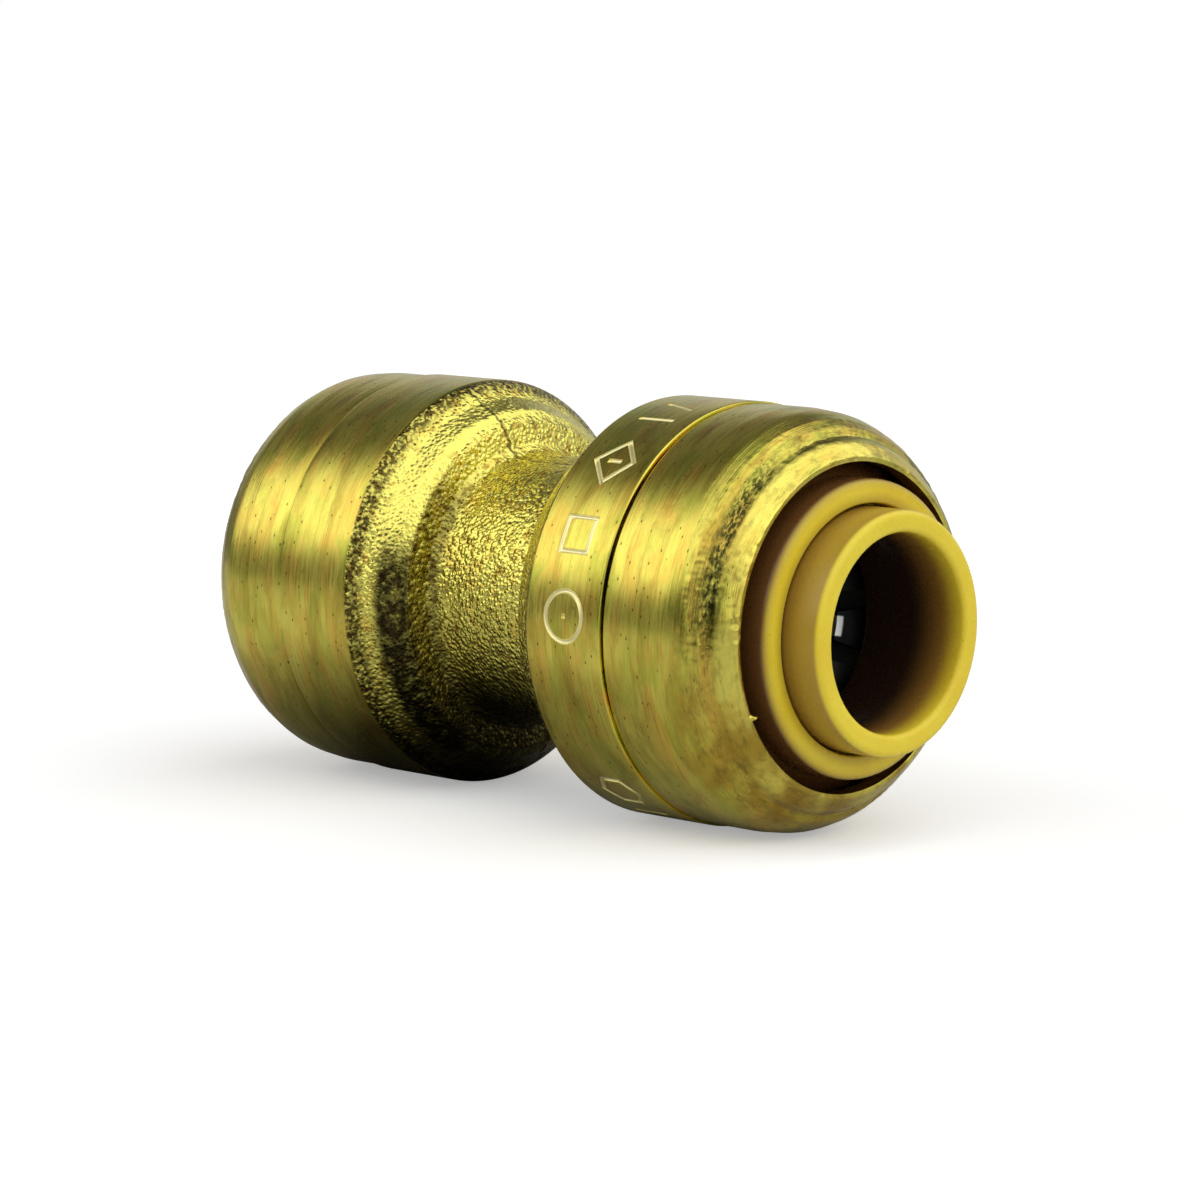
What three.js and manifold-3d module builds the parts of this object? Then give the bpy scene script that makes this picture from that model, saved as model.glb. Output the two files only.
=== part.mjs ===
// Push fit pipe coupling for 3/8 inch (9.5 mm) outside diameter tube.
// A forged brass body with a socket at each end. In each socket sit an O-ring, its protector,
// a grab ring on its seat, a retainer ring and a sliding release collar, under a brass end cap.
//
// Units are millimetres. The coupling's axis is X, +Z is up, and the origin is the middle of the
// body on that axis. Profiles are written as [x, r] points for the right half (+X).

import * as THREE from 'three';
import { mergeVertices } from 'three/addons/utils/BufferGeometryUtils.js';
import Module from 'manifold-3d';

const wasm = await Module();
wasm.setup();

// ---- driving dimensions -------------------------------------------------------------------

const SEGMENTS = 32;            // facets round every turned piece
const RUN = 0.15;               // radial running clearance of the pieces that turn or slide
const SEAT_GAP = 0.05;          // gap between pieces that are stacked face to face

// brass body
const NECK_R = 6.95;
const NECK_HALF = 2.7;          // the neck's straight part ends here
const FILLET_X = 3.4;
const FILLET_R = 7.1;
const BASE_X = 3.8;             // foot of the step up from the neck to the shoulder
const BASE_R = 7.5;
const RIDGE_X = 4.0;            // crest of the forged shoulder nearest the neck
const RIDGE_R = 8.55;
const SHOULDER_X = 5.85;        // the sloping face ends and the rounded corner begins
const SHOULDER_R = 9.75;
const CORNER_X = 6.15;
const CORNER_R = 10.25;
const FLANGE_X = 6.6;           // the turned band runs from here to the seam
const FLANGE_R = 10.6;
const SEAM_X = 11.5;            // the body's band meets the end cap
const SPIGOT_R = 9.25;          // the cap is pressed over this spigot
const SPIGOT_END_X = 14.15;
const STOP_HALF = 1.2;          // half length of the tube stop in the middle
const STOP_R = 3.6;             // waterway through the tube stop
const SOCKET_R = 4.85;          // guides the tube
const GLAND_X = 6.5;            // bottom of the O-ring gland
const GLAND_R = 6.6;
const SEAT_POCKET_X = 12.1;     // counterbore for the grab ring's seat
const SEAT_POCKET_R = 8.5;

// end cap
const CAP_R = 10.5;
const CAP_BORE_R = 9.35;
const CAP_BORE_END = 15.6;
const CAP_CYLINDER_END = 14.0;
const CAP_EDGE_X = 16.54;       // edge between the cap's rounded shoulder and its nose
const CAP_EDGE_R = 10.03;
const CAP_LIP_X = 18.45;
const CAP_MOUTH_X = 17.5;       // the mouth's short bore starts here
const CAP_MOUTH_R = 8.1;
const CAP_LIP_R = 8.35;

// retainer ring and release collar
const RETAINER_FRONT_X = 19.3;
const RETAINER_NOSE_X = 17.4;   // the nose reaches back to here
const RETAINER_NOSE_R = 7.35;
const RETAINER_NOSE_ROUND = 0.35;
const RETAINER_HEEL_X = 15.5;   // the heel under the cap reaches forward to here
const RETAINER_HEEL_R = 9.15;
const RETAINER_BORE_R = 6.15;
const RETAINER_STOP_X = 17.95;  // the collar's lip stops against this shoulder
const COLLAR_END_X = 21.45;     // the collar's outer end when it is fully out
const COLLAR_R = 6.0;
const COLLAR_BORE_R = 4.9;
const COLLAR_MOUTH_R = 5.1;
const COLLAR_LIP_R = 6.75;
const COLLAR_LIP_LENGTH = 0.9;
const COLLAR_RIM_ROUND = 0.25;
const COLLAR_TIP_X = 15.0;      // the tapered inner end that spreads the grab ring's teeth
const COLLAR_TIP_R = 5.5;
const COLLAR_TAPER_LENGTH = 0.8;

// grab ring: a dished stainless washer with its teeth pointing into the socket
const GRAB_FACE_X = 14.65;
const GRAB_THICKNESS = 0.4;
const GRAB_R = 8.6;
const GRAB_BEND_R = 6.6;
const TOOTH_TIP_R = 4.62;
const TOOTH_TIP_X = 13.2;
const TOOTH_TIP_HALF = 0.2;     // half the tip's thickness along X
const TEETH = 12;
const TOOTH_SLOT = 1.0;         // width of the slots between the teeth
const TOOTH_PHASE = -10.4;      // degrees from +Y of the middle of the first tooth

// seals
const ORING_SECTION_R = 0.95;
const ORING_X = 7.55;
const ORING_MEAN_R = 5.52;
const PROTECTOR_BACK_X = 8.65;
const PROTECTOR_FRONT_X = 11.9;
const PROTECTOR_R = 6.45;
const PROTECTOR_BORE_R = 4.95;
const PROTECTOR_LEAD_IN = 0.45; // chamfer that guides the tube into the O-ring
const SEAT_R = 8.35;
const SEAT_BACK_R = 5.75;
const SEAT_FRONT_R = 6.75;

// ---- materials ------------------------------------------------------------------------------

const material = (color, roughness, metalness) => () =>
  new THREE.MeshStandardMaterial({ color, roughness, metalness });

const forgedBrass = material(0xa8973a, 0.42, 1.0);
const turnedBrass = material(0xb5a336, 0.3, 1.0);
const tanAcetal = material(0xd2a548, 0.38, 0.0);
const stainless = material(0xb9bcb8, 0.28, 1.0);
const epdm = material(0x161616, 0.7, 0.0);
const greyNylon = material(0x8f9296, 0.5, 0.0);

// ---- shape helpers ---------------------------------------------------------------------------

// A ring from a closed outline of [x, r] points, turned about the X axis. The outline keeps the
// material on its left, with x to the right and r up. Facets face straight up and down.
function turned(outline) {
  const points = outline.map(([x, r]) => new THREE.Vector2(r, -x));
  points.push(points[0].clone());
  const halfFacet = Math.PI / SEGMENTS;
  const geometry = new THREE.LatheGeometry(points, SEGMENTS, halfFacet);
  // The lathe's -Y axis becomes X, and its own X becomes Y.
  geometry.rotateZ(Math.PI / 2);
  return closed(geometry);
}

// Drops normals and uvs and welds the seam, so that only shared positions are left.
function closed(geometry) {
  geometry.deleteAttribute('normal');
  geometry.deleteAttribute('uv');
  return mergeVertices(geometry, 1e-4);
}

function toSolid(geometry) {
  return new wasm.Manifold(new wasm.Mesh({
    numProp: 3,
    vertProperties: new Float32Array(geometry.attributes.position.array),
    triVerts: new Uint32Array(geometry.index.array),
  }));
}

function fromSolid(solid) {
  const mesh = solid.getMesh();
  const geometry = new THREE.BufferGeometry();
  geometry.setAttribute('position', new THREE.BufferAttribute(mesh.vertProperties, 3));
  geometry.setIndex(new THREE.BufferAttribute(mesh.triVerts, 1));
  return geometry;
}

// Points on the arc about (cx, cr) from one angle to another, in degrees from +x towards +r.
function arc(cx, cr, radius, from, to, steps) {
  const points = [];
  for (let i = 0; i <= steps; i += 1) {
    const angle = THREE.MathUtils.degToRad(from + (to - from) * i / steps);
    points.push([cx + radius * Math.cos(angle), cr + radius * Math.sin(angle)]);
  }
  return points;
}

const flipped = (outline) => outline.map(([x, r]) => [-x, r]);

// ---- pieces, all for the right-hand end ------------------------------------------------------

function bodyGeometry() {
  const outside = [
    [NECK_HALF, NECK_R],
    [FILLET_X, FILLET_R],
    [BASE_X, BASE_R],
    [RIDGE_X, RIDGE_R],
    [SHOULDER_X, SHOULDER_R],
    [CORNER_X, CORNER_R],
    [FLANGE_X, FLANGE_R],
    [SEAM_X, FLANGE_R],
    [SEAM_X, SPIGOT_R],
    [SPIGOT_END_X, SPIGOT_R],
  ];
  const inside = [
    [STOP_HALF, STOP_R],
    [STOP_HALF, SOCKET_R],
    [GLAND_X, SOCKET_R],
    [GLAND_X, GLAND_R],
    [SEAT_POCKET_X, GLAND_R],
    [SEAT_POCKET_X, SEAT_POCKET_R],
    [SPIGOT_END_X, SEAT_POCKET_R],
  ];
  return turned([
    ...flipped(inside).reverse(),
    ...inside,
    ...outside.reverse(),
    ...flipped(outside).reverse(),
  ]);
}

function capGeometry() {
  const rear = SEAM_X + SEAT_GAP;
  return turned([
    [rear, CAP_BORE_R],
    [CAP_BORE_END, CAP_BORE_R],
    [CAP_MOUTH_X, CAP_MOUTH_R],
    [CAP_LIP_X, CAP_MOUTH_R],
    [CAP_LIP_X, CAP_LIP_R],
    [17.95, 8.85],                // the nose, a little rounder than a cone
    [17.3, 9.45],
    [CAP_EDGE_X, CAP_EDGE_R],
    [16.0, CAP_R - 0.25],         // the shoulder, down from the cylinder
    [15.2, CAP_R - 0.09],
    [CAP_CYLINDER_END, CAP_R],
    [rear, CAP_R],
  ]);
}

function retainerGeometry() {
  const pocketR = COLLAR_LIP_R + RUN;
  const back = GRAB_FACE_X + SEAT_GAP;
  const round = RETAINER_NOSE_ROUND;
  return turned([
    [back, pocketR],
    [RETAINER_STOP_X, pocketR],
    [RETAINER_STOP_X, RETAINER_BORE_R],
    [RETAINER_FRONT_X, RETAINER_BORE_R],
    ...arc(RETAINER_FRONT_X - round, RETAINER_NOSE_R - round, round, 0, 90, 3),
    [RETAINER_NOSE_X, RETAINER_NOSE_R],
    [RETAINER_HEEL_X, RETAINER_HEEL_R],
    [back, RETAINER_HEEL_R],
  ]);
}

function collarGeometry() {
  const lipFront = RETAINER_STOP_X - SEAT_GAP;
  const lipBack = lipFront - COLLAR_LIP_LENGTH;
  return turned([
    [COLLAR_TIP_X, COLLAR_BORE_R],
    [COLLAR_END_X - COLLAR_RIM_ROUND, COLLAR_BORE_R],
    [COLLAR_END_X, COLLAR_MOUTH_R],
    ...arc(COLLAR_END_X - COLLAR_RIM_ROUND, COLLAR_R - COLLAR_RIM_ROUND, COLLAR_RIM_ROUND, 0, 90, 2),
    [lipFront, COLLAR_R],
    [lipFront, COLLAR_LIP_R],
    [lipBack, COLLAR_LIP_R],
    [lipBack, COLLAR_R],
    [COLLAR_TIP_X + COLLAR_TAPER_LENGTH, COLLAR_R],
    [COLLAR_TIP_X, COLLAR_TIP_R],
  ]);
}

// The dished washer is turned first, and the slots between the teeth are then punched out of it.
function grabRingGeometry() {
  const backX = GRAB_FACE_X - GRAB_THICKNESS;
  const washer = toSolid(turned([
    [TOOTH_TIP_X - TOOTH_TIP_HALF, TOOTH_TIP_R],
    [TOOTH_TIP_X + TOOTH_TIP_HALF, TOOTH_TIP_R],
    [GRAB_FACE_X, GRAB_BEND_R],
    [GRAB_FACE_X, GRAB_R],
    [backX, GRAB_R],
    [backX, GRAB_BEND_R],
  ]));
  const slotTop = GRAB_BEND_R - 0.1;
  const slotDepth = 2 * GRAB_THICKNESS + GRAB_FACE_X - TOOTH_TIP_X;
  let ring = washer;
  for (let i = 0; i < TEETH; i += 1) {
    const slot = new THREE.BoxGeometry(2 * slotDepth, slotTop, TOOTH_SLOT);
    slot.translate(GRAB_FACE_X, slotTop / 2, 0);
    slot.rotateX(THREE.MathUtils.degToRad(TOOTH_PHASE + (i + 0.5) * 360 / TEETH));
    ring = ring.subtract(toSolid(closed(slot)));
  }
  return fromSolid(ring);
}

function oRingGeometry() {
  const sides = 10;
  return turned(arc(ORING_X, ORING_MEAN_R, ORING_SECTION_R, 0, 360 - 360 / sides, sides - 1));
}

function protectorGeometry() {
  return turned([
    [PROTECTOR_BACK_X, PROTECTOR_BORE_R],
    [PROTECTOR_FRONT_X - PROTECTOR_LEAD_IN, PROTECTOR_BORE_R],
    [PROTECTOR_FRONT_X, PROTECTOR_BORE_R + PROTECTOR_LEAD_IN],
    [PROTECTOR_FRONT_X, PROTECTOR_R],
    [PROTECTOR_BACK_X, PROTECTOR_R],
  ]);
}

// The seat's flared bore gives the teeth room to bend as the collar is pressed.
function seatGeometry() {
  const front = GRAB_FACE_X - GRAB_THICKNESS - SEAT_GAP;
  const back = SEAT_POCKET_X + SEAT_GAP;
  return turned([
    [back, SEAT_BACK_R],
    [front, SEAT_FRONT_R],
    [front, SEAT_R],
    [back, SEAT_R],
  ]);
}

// ---- assembly --------------------------------------------------------------------------------

const endPieces = [
  ['end_cap', capGeometry, turnedBrass],
  ['collar_retainer', retainerGeometry, tanAcetal],
  ['release_collar', collarGeometry, tanAcetal],
  ['grab_ring', grabRingGeometry, stainless],
  ['grab_ring_seat', seatGeometry, greyNylon],
  ['o_ring_protector', protectorGeometry, greyNylon],
  ['o_ring', oRingGeometry, epdm],
];

function makeEnd(side) {
  const end = new THREE.Group();
  for (const [name, makeGeometry, makeMaterial] of endPieces) {
    const mesh = new THREE.Mesh(makeGeometry(), makeMaterial());
    mesh.name = `${name}_${side}`;
    end.add(mesh);
  }
  return end;
}

const coupling = new THREE.Group();
const body = new THREE.Mesh(bodyGeometry(), forgedBrass());
body.name = 'body';
const rightEnd = makeEnd('right');
const leftEnd = makeEnd('left');
leftEnd.rotation.z = Math.PI;   // the left end is the right one turned half round about Z
coupling.add(body, rightEnd, leftEnd);

export default coupling;
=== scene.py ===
"""Push fit pipe coupling: the visual model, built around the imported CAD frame.

Outlines are in millimetres, as closed loops of (x, r, rounding) corners in the half plane through
the coupling's axis, for the right-hand end, with the material on their left. Blender's own units
are metres. Angles round the axis run from +Y through +Z, so the top is at 90 degrees.
"""

import math

import bmesh
import bpy
import numpy as np
from mathutils import Matrix, Vector


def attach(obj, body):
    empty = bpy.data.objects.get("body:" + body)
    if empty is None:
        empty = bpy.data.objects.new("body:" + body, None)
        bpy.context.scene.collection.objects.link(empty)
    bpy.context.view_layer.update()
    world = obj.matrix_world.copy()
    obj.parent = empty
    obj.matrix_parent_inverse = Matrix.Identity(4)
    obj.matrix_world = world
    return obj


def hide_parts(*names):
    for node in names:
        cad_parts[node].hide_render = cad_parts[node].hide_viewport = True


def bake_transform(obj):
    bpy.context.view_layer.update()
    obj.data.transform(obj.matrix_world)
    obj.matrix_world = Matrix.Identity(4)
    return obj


MM = 0.001

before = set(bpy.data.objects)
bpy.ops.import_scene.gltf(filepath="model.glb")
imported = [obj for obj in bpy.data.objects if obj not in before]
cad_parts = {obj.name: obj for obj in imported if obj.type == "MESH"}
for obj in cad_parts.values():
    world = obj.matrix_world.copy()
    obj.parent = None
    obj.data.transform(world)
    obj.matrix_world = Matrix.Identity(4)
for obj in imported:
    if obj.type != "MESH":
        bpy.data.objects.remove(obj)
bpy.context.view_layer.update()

# ---- driving dimensions, in millimetres ---------------------------------------------------------

NECK_END, NECK_R = 2.5, 6.95
FLARE_X, FLARE_R = 3.35, 7.07
FOOT_X, FOOT_R = 3.75, 7.45
RIDGE_X, RIDGE_R = 4.1, 8.65
SLOPE_X, SLOPE_R = 4.55, 9.12
SHOULDER_X, SHOULDER_R = 5.75, 9.75
RIM_X, RIM_R = 6.3, 10.35
FORGED_END = 6.6
FLANGE_R = 10.6
SEAM_X = 11.5
SPIGOT_R = 9.25
SPIGOT_END = 14.15
STOP_HALF, STOP_R = 1.2, 3.6
SOCKET_R = 4.85
GLAND_X, GLAND_R = 6.5, 6.6
POCKET_X, POCKET_R = 12.1, 8.5

CAP_BACK = 11.6
CAP_R = 10.5
CAP_BORE_R, CAP_BORE_END = 9.35, 15.6
CAP_BAND_END = 14.4
CAP_SHOULDER_X, CAP_SHOULDER_R = 15.7, 10.38
CAP_EDGE_X, CAP_EDGE_R = 16.54, 10.03
CAP_STEP_X, CAP_STEP_R = 17.08, 9.66
CAP_GROOVE_X, CAP_GROOVE_R = 17.32, 9.27
CAP_NOSE_X, CAP_NOSE_R = 17.85, 9.02
CAP_LIP_X, CAP_LIP_R = 18.45, 8.35
CAP_MOUTH_X, CAP_MOUTH_R = 17.5, 8.1
CHATTER_FROM = 15.9                 # where a cap's fine faces begin
CHATTER = 0.05                      # how deep the tool's chatter is beside the groove
SEAM_CLOSED = 0.065                 # how far a cap's back edge reaches towards the body
SEAM_GAP = 0.19                     # and how much further back it stands where the seam is open
SEAM_GAP_AT = math.radians(152)
BURR_AT = math.radians(206)

RETAINER_BACK, RETAINER_FRONT = 14.7, 19.3
RETAINER_NOSE_R, RETAINER_HEEL_R = 7.35, 9.15
RETAINER_BORE_R, RETAINER_POCKET_R = 6.15, 6.9
RETAINER_STOP = 17.95
RETAINER_NECK, RETAINER_HEEL_END = 17.4, 15.5

COLLAR_TIP, COLLAR_END = 15.0, 21.45
COLLAR_R, COLLAR_BORE_R, COLLAR_TIP_R = 6.0, 4.9, 5.5
COLLAR_LIP_R = 6.75
COLLAR_LIP_FRONT, COLLAR_LIP_BACK = 17.9, 17.0

GRAB_FACE, GRAB_THICK = 14.65, 0.4
GRAB_R, GRAB_BEND_R = 8.6, 6.6
TOOTH_TIP_X, TOOTH_TIP_R = 13.2, 4.62
TEETH = 12
TOOTH_SLOT = 1.0
TOOTH_PHASE = math.radians(-10.4)

ORING_X, ORING_R, ORING_SECTION = 7.55, 5.52, 0.95
PROTECTOR_BACK, PROTECTOR_FRONT = 8.65, 11.9
PROTECTOR_BORE_R, PROTECTOR_R = 4.95, 6.45
SEAT_BACK, SEAT_FRONT = 12.15, 14.2
SEAT_BACK_R, SEAT_FRONT_R, SEAT_R = 5.75, 6.75, 8.35

PARTING = math.radians(101)         # the forging's parting line, and again on the far side
PARTING_FLAT = 0.16                 # half the angle of the flat trimmed along it
GRIME_AND_SHADE_X = 17.36                     # the middle of the dark specks and painted shade in a cap's groove and where round the axis it is thickest
GRIME_AND_SHADE_AT = math.radians(149)        # and where round the axis it is thickest
HOLLOW_AT = math.radians(205.5)     # the middle of the painted shade in the hollow by the left shoulder
UNDERSIDE = math.radians(270)
MARKS_X = 9.1                       # the middle of the stamped marks on the right-hand band
STROKE = 0.15                       # half the width of a stamped stroke

# Columns round the axis, and the longest side of a face along an outline in millimetres.
BODY_COLUMNS, CAP_COLUMNS, MOVING_COLUMNS, RING_COLUMNS = 290, 880, 240, 160
ROUGH_STEP, SMOOTH_STEP = 0.15, 1.0
CHATTER_STEP, CAP_STEP = 0.11, 0.8
MOVING_STEP, GRAB_STEP, RING_STEP = 0.4, 0.3, 0.4


# ---- noise and blending --------------------------------------------------------------------------


def smoothstep(low, high, value):
    t = np.clip((value - low) / (high - low), 0, 1)
    return t * t * (3 - 2 * t)


def hump(value, centre, width):
    """A smooth hump, 1 at the centre and fading to 0 about two widths away."""
    return np.exp(-(((value - centre) / width) ** 2))


def angle_from(angle, centre):
    """The signed difference of two angles, in radians."""
    return (angle - centre + math.pi) % (2 * math.pi) - math.pi


def lattice_noise(points, seed):
    """Smooth noise from -1 to 1 with a grain of one unit, from random values on a lattice."""
    table = np.random.default_rng(seed).uniform(-1, 1, (64, 64, 64))
    cell = np.floor(points).astype(int)
    t = points - cell
    t = t * t * t * (t * (6 * t - 15) + 10)
    total = 0
    for corner in np.ndindex(2, 2, 2):
        weight = np.prod(np.where(corner, t, 1 - t), axis=-1)
        i, j, k = np.moveaxis((cell + corner) % 64, -1, 0)
        total = total + weight * table[i, j, k]
    return total


def grain(x, r, angle, size, octaves=2, seed=0):
    """Noise with a grain of about that size, in millimetres, from -1 to 1."""
    points = np.stack([x, r * np.cos(angle), r * np.sin(angle)], -1) / size
    total, weight = 0, 0
    for octave in range(octaves):
        share = 0.6**octave
        total = total + share * lattice_noise(points * 2.03**octave, seed + octave)
        weight += share
    return total / weight


# ---- turned shapes -------------------------------------------------------------------------------


def rounded(corners, per_quarter=6):
    """The loop of (x, r, rounding) corners as points, with an arc at each rounded corner."""
    points = []
    n = len(corners)
    for i, (x, r, radius) in enumerate(corners):
        here = np.array((x, r))
        to_last = np.array(corners[i - 1][:2]) - here
        to_next = np.array(corners[(i + 1) % n][:2]) - here
        if radius <= 0:
            points.append(here)
            continue
        a = to_last / np.linalg.norm(to_last)
        b = to_next / np.linalg.norm(to_next)
        turn = math.acos(np.clip(a @ b, -1, 1))
        reach = radius / math.tan(turn / 2)
        reach = min(reach, 0.49 * np.linalg.norm(to_last), 0.49 * np.linalg.norm(to_next))
        radius = reach * math.tan(turn / 2)
        middle = (a + b) / np.linalg.norm(a + b)
        centre = here + middle * math.hypot(radius, reach)
        start = here + a * reach - centre
        end = here + b * reach - centre
        sweep = math.atan2(start[0] * end[1] - start[1] * end[0], start @ end)
        steps = max(2, round(abs(sweep) / (math.pi / 2) * per_quarter))
        for k in range(steps + 1):
            c, s = math.cos(sweep * k / steps), math.sin(sweep * k / steps)
            points.append(centre + (start[0] * c - start[1] * s, start[0] * s + start[1] * c))
    return np.array(points)


def densified(points, step):
    """The closed loop with no side longer than step, which is a length or a function of x and r."""
    out = []
    for i, p in enumerate(points):
        q = points[(i + 1) % len(points)]
        most = step(*(p + q) / 2) if callable(step) else step
        parts = max(1, math.ceil(np.linalg.norm(q - p) / most))
        out += [p + (q - p) * k / parts for k in range(parts)]
    return np.array(out)


def loop_normals(points):
    """Outward unit normals of a loop that keeps its material on the left."""
    along = np.roll(points, -1, 0) - np.roll(points, 1, 0)
    along /= np.linalg.norm(along, axis=1)[:, None]
    return np.stack([along[:, 1], -along[:, 0]], 1)


def link(name, mesh):
    piece = bpy.data.objects.new(name, mesh)
    bpy.context.scene.collection.objects.link(piece)
    return piece


def turned(name, corners, columns=256, step=0.6, relief=None, side=1):
    """A ring turned about the X axis from a closed loop of corners.

    relief(x, r, angle) gives how far, in millimetres, each point stands proud of the loop.
    side is 1 for the right-hand end and -1 for the left, which is the right turned half round.
    """
    loop = densified(rounded(corners), step)
    normals = loop_normals(loop)
    angles = np.arange(columns) * 2 * math.pi / columns
    x = np.broadcast_to(loop[:, 0], (columns, len(loop)))
    r = np.broadcast_to(loop[:, 1], x.shape)
    angle = np.broadcast_to(angles[:, None], x.shape)
    if relief:
        out = relief(x, r, angle)
        x = x + out * normals[:, 0]
        r = r + out * normals[:, 1]
    co = np.stack([x, r * np.cos(angle), r * np.sin(angle)], -1).reshape(-1, 3) * MM
    if side < 0:
        co *= (-1, -1, 1)
    n = len(loop)
    i, j = np.meshgrid(np.arange(columns), np.arange(n), indexing="ij")
    i2, j2 = (i + 1) % columns, (j + 1) % n
    quads = np.stack([i * n + j, i * n + j2, i2 * n + j2, i2 * n + j], -1).reshape(-1, 4)
    mesh = bpy.data.meshes.new(name)
    mesh.from_pydata(co.tolist(), [], quads.tolist())
    mesh.shade_smooth()
    return link(name, mesh)


def cut(piece, cutter):
    """Cuts the cutter out of the piece and removes the cutter."""
    modifier = piece.modifiers.new("cut", "BOOLEAN")
    modifier.object = cutter
    modifier.operation = "DIFFERENCE"
    modifier.solver = "EXACT"
    graph = bpy.context.evaluated_depsgraph_get()
    mesh = bpy.data.meshes.new_from_object(piece.evaluated_get(graph))
    piece.modifiers.clear()
    piece.data = mesh
    bpy.data.objects.remove(cutter)
    mesh.shade_smooth()
    mesh.set_sharp_from_angle(angle=math.radians(40))


# ---- materials -----------------------------------------------------------------------------------


class Nodes:
    """A short way to write the nodes of a material or of the world."""

    def __init__(self, tree):
        self.tree = tree
        self.tree.nodes.clear()
        self.place = self.add("ShaderNodeTexCoord").outputs["Object"]

    def add(self, kind, **settings):
        node = self.tree.nodes.new(kind)
        for key, value in settings.items():
            setattr(node, key, value)
        return node

    def link(self, a, b):
        self.tree.links.new(a, b)

    def put(self, socket, value):
        if hasattr(value, "is_linked"):
            self.link(value, socket)
        else:
            socket.default_value = value

    def scaled(self, scale, source=None):
        node = self.add("ShaderNodeMapping")
        self.link(source or self.place, node.inputs["Vector"])
        node.inputs["Scale"].default_value = scale
        return node.outputs[0]

    def noise(self, vector, scale=1.0, detail=3.0, roughness=0.55, distortion=0.0):
        node = self.add("ShaderNodeTexNoise")
        self.link(vector, node.inputs["Vector"])
        node.inputs["Scale"].default_value = scale
        node.inputs["Detail"].default_value = detail
        node.inputs["Roughness"].default_value = roughness
        node.inputs["Distortion"].default_value = distortion
        return node.outputs[0]

    def cells(self, vector, scale=1.0, feature="F1"):
        node = self.add("ShaderNodeTexVoronoi", feature=feature)
        self.link(vector, node.inputs["Vector"])
        node.inputs["Scale"].default_value = scale
        return node.outputs["Distance"]

    def parts(self, vector):
        """The three parts of a vector."""
        node = self.add("ShaderNodeSeparateXYZ")
        self.link(vector, node.inputs[0])
        return node.outputs[:3]

    def math(self, kind, a, b=0.0, clamp=False):
        node = self.add("ShaderNodeMath", operation=kind, use_clamp=clamp)
        self.put(node.inputs[0], a)
        self.put(node.inputs[1], b)
        return node.outputs[0]

    def spread(self, value, low, high, to_low=0.0, to_high=1.0):
        node = self.add("ShaderNodeMapRange")
        self.put(node.inputs["Value"], value)
        node.inputs["From Min"].default_value = low
        node.inputs["From Max"].default_value = high
        node.inputs["To Min"].default_value = to_low
        node.inputs["To Max"].default_value = to_high
        return node.outputs[0]

    def rise(self, value, low, high):
        """0 at low and 1 at high, with a soft start and end. low may be above high."""
        node = self.add("ShaderNodeMapRange", interpolation_type="SMOOTHSTEP")
        self.put(node.inputs["Value"], value)
        if low > high:
            low, high = high, low
            node.inputs["To Min"].default_value = 1.0
            node.inputs["To Max"].default_value = 0.0
        node.inputs["From Min"].default_value = low
        node.inputs["From Max"].default_value = high
        return node.outputs[0]

    def fade(self, value, start, end):
        """0 at start and 1 at end, both in millimetres. start may be above end."""
        return self.rise(value, start * MM, end * MM)

    def between(self, value, start, full, last_full, end):
        """1 from full to last_full, and 0 before start and after end, all in millimetres."""
        return self.product(self.fade(value, start, full), self.fade(value, end, last_full))

    def product(self, first, *others):
        for other in others:
            first = self.math("MULTIPLY", first, other)
        return first

    def total(self, first, *others):
        for other in others:
            first = self.math("ADD", first, other)
        return first

    def mix(self, amount, a, b):
        node = self.add("ShaderNodeMix", data_type="RGBA")
        self.put(node.inputs[0], amount)
        self.put(node.inputs[6], a)
        self.put(node.inputs[7], b)
        return node.outputs[2]

    def mix_value(self, amount, a, b):
        node = self.add("ShaderNodeMix", data_type="FLOAT")
        self.put(node.inputs[0], amount)
        self.put(node.inputs[2], a)
        self.put(node.inputs[3], b)
        return node.outputs[0]

    def bump(self, height, distance, strength=1.0, normal=None):
        node = self.add("ShaderNodeBump")
        self.link(height, node.inputs["Height"])
        node.inputs["Distance"].default_value = distance
        node.inputs["Strength"].default_value = strength
        if normal:
            self.link(normal, node.inputs["Normal"])
        return node.outputs[0]

    def lathe_place(self, along, around):
        """A vector that runs slowly round the axis and fast along it, for turning marks.

        along and around are how many grains there are to a metre in each direction.
        """
        x, y, z = self.parts(self.place)
        across = self.math("SUBTRACT", self.math("ABSOLUTE", x), self.radius())
        joined = self.add("ShaderNodeCombineXYZ")
        self.link(self.math("MULTIPLY", across, along), joined.inputs[0])
        self.link(self.math("MULTIPLY", y, around), joined.inputs[1])
        self.link(self.math("MULTIPLY", z, around), joined.inputs[2])
        return joined.outputs[0]

    def radius(self):
        """How far a point is from the coupling's axis, in metres."""
        y, z = self.parts(self.place)[1:]
        return self.math("SQRT", self.total(self.product(y, y), self.product(z, z)))

    def away(self):
        """How far a point is from the coupling's middle along the axis, in metres."""
        return self.math("ABSOLUTE", self.parts(self.place)[0])

    def facing(self, angle):
        """1 at that angle round the axis, falling to -1 on the far side."""
        y, z = self.parts(self.place)[1:]
        across = self.total(self.product(y, math.cos(angle)), self.product(z, math.sin(angle)))
        return self.math("DIVIDE", across, self.radius())

    def beside(self, angle):
        """How far a point is from the plane through the axis at that angle, in metres."""
        y, z = self.parts(self.place)[1:]
        return self.total(self.product(y, -math.sin(angle)), self.product(z, math.cos(angle)))


class Finish(Nodes):
    """The nodes of a new material with one shader."""

    def __init__(self, name):
        self.material = bpy.data.materials.new(name)
        self.material.use_nodes = True
        super().__init__(self.material.node_tree)
        self.out = self.add("ShaderNodeOutputMaterial")
        self.shader = self.add("ShaderNodeBsdfPrincipled")
        self.link(self.shader.outputs[0], self.out.inputs[0])


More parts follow.
